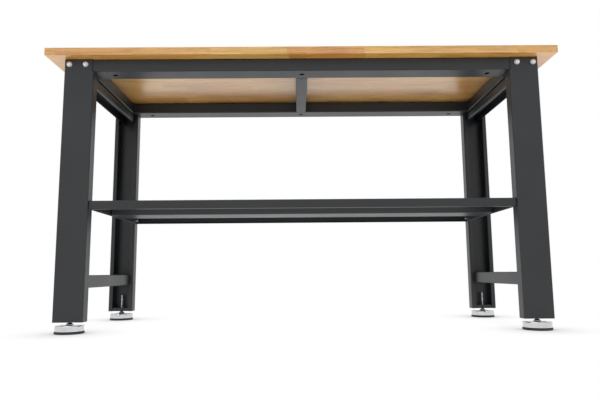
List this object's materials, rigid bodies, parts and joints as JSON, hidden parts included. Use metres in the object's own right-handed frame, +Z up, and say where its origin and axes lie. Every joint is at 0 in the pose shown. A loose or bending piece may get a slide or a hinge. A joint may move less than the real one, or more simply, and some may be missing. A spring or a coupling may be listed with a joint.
{
  "type": "assembly table",
  "caption": "Workshop assembly table: hardwood top on a steel frame with a lower shelf, end stretchers and screw-adjustable levelling feet.",
  "frame": {"origin": "on the floor under the middle of the table top", "axes": "+X along the table to the right as seen from the front, +Y from front to rear, +Z up"},
  "size_m": [1.6, 0.6, 0.875],
  "materials": {
    "hardwood": "satin",
    "powder_coat": "fine-texture powder coat",
    "zinc": "zinc plated",
    "chrome": "polished",
    "rubber": "matt"
  },
  "bodies": {
    "root": {"table_top": "hardwood", "front_apron": "powder_coat", "rear_apron": "powder_coat", "left_side_apron": "powder_coat", "right_side_apron": "powder_coat", "left_top_rail": "powder_coat", "right_top_rail": "powder_coat", "left_lower_stretcher": "powder_coat", "right_lower_stretcher": "powder_coat", "centre_brace": "powder_coat", "shelf_tray": "powder_coat", "shelf_stiffener": "powder_coat", "front_left_leg": "powder_coat", "front_left_foot_plate": "powder_coat", "front_left_foot_nut": "zinc", "front_left_frame_bolt_outer": "zinc", "front_left_frame_bolt_inner": "zinc", "front_left_shelf_bolt": "zinc", "front_left_shelf_nut": "zinc", "front_right_leg": "powder_coat", "front_right_foot_plate": "powder_coat", "front_right_foot_nut": "zinc", "front_right_frame_bolt_outer": "zinc", "front_right_frame_bolt_inner": "zinc", "front_right_shelf_bolt": "zinc", "front_right_shelf_nut": "zinc", "rear_left_leg": "powder_coat", "rear_left_foot_plate": "powder_coat", "rear_left_foot_nut": "zinc", "rear_left_frame_bolt_outer": "zinc", "rear_left_frame_bolt_inner": "zinc", "rear_left_shelf_bolt": "zinc", "rear_left_shelf_nut": "zinc", "rear_right_leg": "powder_coat", "rear_right_foot_plate": "powder_coat", "rear_right_foot_nut": "zinc", "rear_right_frame_bolt_outer": "zinc", "rear_right_frame_bolt_inner": "zinc", "rear_right_shelf_bolt": "zinc", "rear_right_shelf_nut": "zinc", "front_left_top_screw": "zinc", "front_centre_top_screw": "zinc", "front_right_top_screw": "zinc", "rear_left_top_screw": "zinc", "rear_centre_top_screw": "zinc", "rear_right_top_screw": "zinc"},
    "front_left_foot": {"front_left_foot_cup": "chrome", "front_left_foot_pad": "rubber"},
    "front_left_stud": {"front_left_foot_stud": "zinc"},
    "front_right_foot": {"front_right_foot_cup": "chrome", "front_right_foot_pad": "rubber"},
    "front_right_stud": {"front_right_foot_stud": "zinc"},
    "rear_left_foot": {"rear_left_foot_cup": "chrome", "rear_left_foot_pad": "rubber"},
    "rear_left_stud": {"rear_left_foot_stud": "zinc"},
    "rear_right_foot": {"rear_right_foot_cup": "chrome", "rear_right_foot_pad": "rubber"},
    "rear_right_stud": {"rear_right_foot_stud": "zinc"}
  },
  "joints": [
    {"name": "front_left_foot_height", "type": "slide", "parent": "root", "child": "front_left_foot", "axis": [0, 0, -1], "range_m": [-0.0017, 0.048]},
    {"name": "front_left_stud_turn", "type": "hinge", "parent": "front_left_foot", "child": "front_left_stud", "pos_m": [-0.704, -0.245, 0.0291], "axis": [0, 0, -1], "range_deg": [-408, 11520]},
    {"name": "front_right_foot_height", "type": "slide", "parent": "root", "child": "front_right_foot", "axis": [0, 0, -1], "range_m": [-0.0017, 0.048]},
    {"name": "front_right_stud_turn", "type": "hinge", "parent": "front_right_foot", "child": "front_right_stud", "pos_m": [0.704, -0.245, 0.0291], "axis": [0, 0, -1], "range_deg": [-408, 11520]},
    {"name": "rear_left_foot_height", "type": "slide", "parent": "root", "child": "rear_left_foot", "axis": [0, 0, -1], "range_m": [-0.0017, 0.048]},
    {"name": "rear_left_stud_turn", "type": "hinge", "parent": "rear_left_foot", "child": "rear_left_stud", "pos_m": [-0.704, 0.245, 0.0291], "axis": [0, 0, -1], "range_deg": [-408, 11520]},
    {"name": "rear_right_foot_height", "type": "slide", "parent": "root", "child": "rear_right_foot", "axis": [0, 0, -1], "range_m": [-0.0017, 0.048]},
    {"name": "rear_right_stud_turn", "type": "hinge", "parent": "rear_right_foot", "child": "rear_right_stud", "pos_m": [0.704, 0.245, 0.0291], "axis": [0, 0, -1], "range_deg": [-408, 11520]}
  ],
  "couplings": [
    {"joint": "front_left_stud_turn", "follows": "front_left_foot_height", "rad_per_m": 4188.8},
    {"joint": "front_right_stud_turn", "follows": "front_right_foot_height", "rad_per_m": 4188.8},
    {"joint": "rear_left_stud_turn", "follows": "rear_left_foot_height", "rad_per_m": 4188.8},
    {"joint": "rear_right_stud_turn", "follows": "rear_right_foot_height", "rad_per_m": 4188.8}
  ]
}
